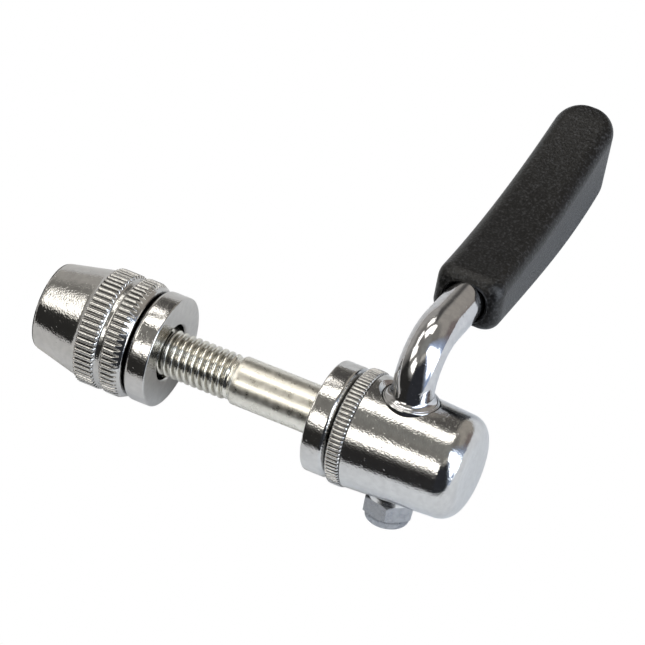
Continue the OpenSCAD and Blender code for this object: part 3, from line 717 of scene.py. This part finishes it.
# Surroundings that the metal mirrors, painted one over another on the sky: middle azimuth from +X towards
# +Y and elevation, half widths and soft edges in degrees, then linear colour
surroundings = [
    dict(name="zenith", at=(0, 90), half=(180, 16), soft=(1, 14), color=(0.30, 0.30, 0.28)),
    dict(name="warm wall", at=(64, 14), half=(34, 31), soft=(16, 14), color=(0.41, 0.38, 0.34)),
    dict(name="brown wall", at=(38, -6), half=(15, 24), soft=(16, 16), color=(0.24, 0.20, 0.19)),
    dict(name="rear wall", at=(150, 2), half=(34, 20), soft=(14, 14), color=(0.45, 0.43, 0.40)),
    dict(name="dark corner", at=(108, 22), half=(7, 20), soft=(8, 10), color=(0.10, 0.095, 0.09)),
    dict(name="window frame", at=(-4, 27), half=(26, 47), soft=(22, 18), color=(0.42, 0.52, 0.72)),
    dict(name="dark wall", at=(-75, 15), half=(44, 42), soft=(18, 12), color=(0.034, 0.036, 0.042)),
    dict(name="dark shelf", at=(-130, 2), half=(32, 33), soft=(16, 14), color=(0.032, 0.031, 0.029)),
    dict(name="pelmet", at=(-45, 67), half=(34, 5), soft=(16, 6), color=(0.60, 0.58, 0.52)),
    dict(name="window", at=(-7, 39), half=(15, 30), soft=(9, 12), color=(4.6, 4.9, 5.3)),
    dict(name="window foot", at=(3, 4), half=(8, 19), soft=(9, 10), color=(4.0, 4.3, 4.7)),
    dict(name="front lamp halo", at=(-117, 46), half=(19, 13), soft=(14, 18), color=(0.46, 0.45, 0.42)),
    dict(name="front lamp", at=(-117, 49), half=(17, 9.2), soft=(6, 4), color=(3.1, 3.0, 2.78)),
    dict(name="left lamp", at=(-164, 45), half=(12, 11), soft=(7, 6), color=(2.6, 2.5, 2.3)),
    dict(name="rear lamp", at=(118, 59.3), half=(32, 8.4), soft=(8, 4), color=(3.1, 3.0, 2.78)),
    dict(name="rear low lamp", at=(127, 36), half=(12, 6), soft=(6, 5), color=(2.4, 2.3, 2.15)),
    dict(name="far lamp", at=(170, 44), half=(19, 5.0), soft=(7, 4), color=(2.8, 2.7, 2.5)),
]
plainRoom = (0.25, 0.24, 0.22)


def mathNode(tree, operation, first, second=None, third=None):
    # One arithmetic node whose inputs are either links or numbers.
    node = tree.nodes.new("ShaderNodeMath")
    node.operation = operation
    for place, value in enumerate((first, second, third)):
        if value is None:
            continue
        if isinstance(value, (int, float)):
            node.inputs[place].default_value = value
        else:
            tree.links.new(value, node.inputs[place])
    return node.outputs[0]


def withinBand(tree, away, half, soft):
    # One inside the half width, zero outside, with a smooth edge between.
    node = tree.nodes.new("ShaderNodeMapRange")
    node.interpolation_type = "SMOOTHSTEP"
    node.inputs["From Min"].default_value = half + soft / 2
    node.inputs["From Max"].default_value = half - soft / 2
    tree.links.new(away, node.inputs["Value"])
    return node.outputs["Result"]


def paintRoom(tree):
    # Colour of the surroundings in the direction that a ray leaves by.
    direction = tree.nodes.new("ShaderNodeTexCoord").outputs["Generated"]
    split = tree.nodes.new("ShaderNodeSeparateXYZ")
    tree.links.new(direction, split.inputs[0])
    degrees = 180 / np.pi
    around = mathNode(tree, "ARCTAN2", split.outputs["Y"], split.outputs["X"])
    azimuth = mathNode(tree, "MULTIPLY", around, degrees)
    elevation = mathNode(tree, "MULTIPLY", mathNode(tree, "ARCSINE", split.outputs["Z"]), degrees)
    base = tree.nodes.new("ShaderNodeRGB")
    base.outputs[0].default_value = (*plainRoom, 1)
    color = base.outputs[0]
    for patch in surroundings:
        apart = mathNode(tree, "SUBTRACT", azimuth, float(patch["at"][0]))
        turn = mathNode(tree, "WRAP", apart, 180.0, -180.0)
        sideways = withinBand(tree, mathNode(tree, "ABSOLUTE", turn), patch["half"][0], patch["soft"][0])
        rise = mathNode(tree, "ABSOLUTE", mathNode(tree, "SUBTRACT", elevation, float(patch["at"][1])))
        upright = withinBand(tree, rise, patch["half"][1], patch["soft"][1])
        over = tree.nodes.new("ShaderNodeMix")
        over.data_type = "RGBA"
        over.inputs["B"].default_value = (*patch["color"], 1)
        tree.links.new(mathNode(tree, "MULTIPLY", sideways, upright), over.inputs["Factor"])
        tree.links.new(color, over.inputs["A"])
        color = over.outputs["Result"]
    return color


def worldLight():
    # The camera sees plain white, every other ray the painted room.
    world = bpy.data.worlds.new("room")
    bpy.context.scene.world = world
    world.use_nodes = True
    tree = world.node_tree
    room = tree.nodes["Background"]
    tree.links.new(paintRoom(tree), room.inputs["Color"])
    plain = tree.nodes.new("ShaderNodeBackground")
    plain.inputs["Color"].default_value = (1, 1, 1, 1)
    ray = tree.nodes.new("ShaderNodeLightPath")
    mix = tree.nodes.new("ShaderNodeMixShader")
    tree.links.new(ray.outputs["Is Camera Ray"], mix.inputs["Fac"])
    tree.links.new(room.outputs[0], mix.inputs[1])
    tree.links.new(plain.outputs[0], mix.inputs[2])
    tree.links.new(mix.outputs[0], tree.nodes["World Output"].inputs["Surface"])


worldLight()


def lamp(name, place, aim, size, power):
    # Soft square lamp that lights the sheet and the plastic but isn't seen in the metal.
    data = bpy.data.lights.new(name, "AREA")
    data.size = size
    data.energy = power
    piece = bpy.data.objects.new(name, data)
    piece.location = place
    piece.rotation_mode = "QUATERNION"
    piece.rotation_quaternion = (Vector(aim) - Vector(place)).to_track_quat("-Z", "Y")
    piece.visible_glossy = False
    piece.visible_camera = False
    bpy.context.scene.collection.objects.link(piece)


lamp("overhead", (0.1, -0.1, 1.0), (0, 0, 0), 0.8, 0.4)

# Camera
view = dict(away=0.58578, focalPx=3608.1, imagePx=645, pivotPx=(401.66, 445.0),
            right=(0.89278, 0.41454, 0.17634), towards=(0.27416, -0.81057, 0.51751))


def makeCamera():
    # Camera whose axes are the photo's in bolt coordinates, turned a little so the pivot lands on its
    # pixel.
    towards = np.array(view["towards"]) / np.linalg.norm(view["towards"])
    right = np.array(view["right"]) - towards * np.dot(view["right"], towards)
    right /= np.linalg.norm(right)
    up = np.cross(towards, right)
    axes = np.column_stack([right, up, towards])
    half = view["imagePx"] / 2
    ray = Vector((view["pivotPx"][0] - half, half - view["pivotPx"][1], -view["focalPx"])).normalized()
    turn = np.array(ray.rotation_difference(Vector((0, 0, -1))).to_matrix())
    world = boltAxes.T @ axes @ turn
    data = bpy.data.cameras.new("photoView")
    data.sensor_width = 36.0
    data.lens = view["focalPx"] / view["imagePx"] * data.sensor_width
    data.clip_start = 0.01
    data.clip_end = 20.0
    camera = bpy.data.objects.new("photoView", data)
    matrix = Matrix(world.tolist()).to_4x4()
    matrix.translation = Vector(journalCentre + boltAxes.T @ towards * view["away"])
    camera.matrix_world = matrix
    bpy.context.scene.collection.objects.link(camera)
    bpy.context.scene.camera = camera


makeCamera()
bpy.context.scene.view_settings.view_transform = "Standard"
print("studio and camera")
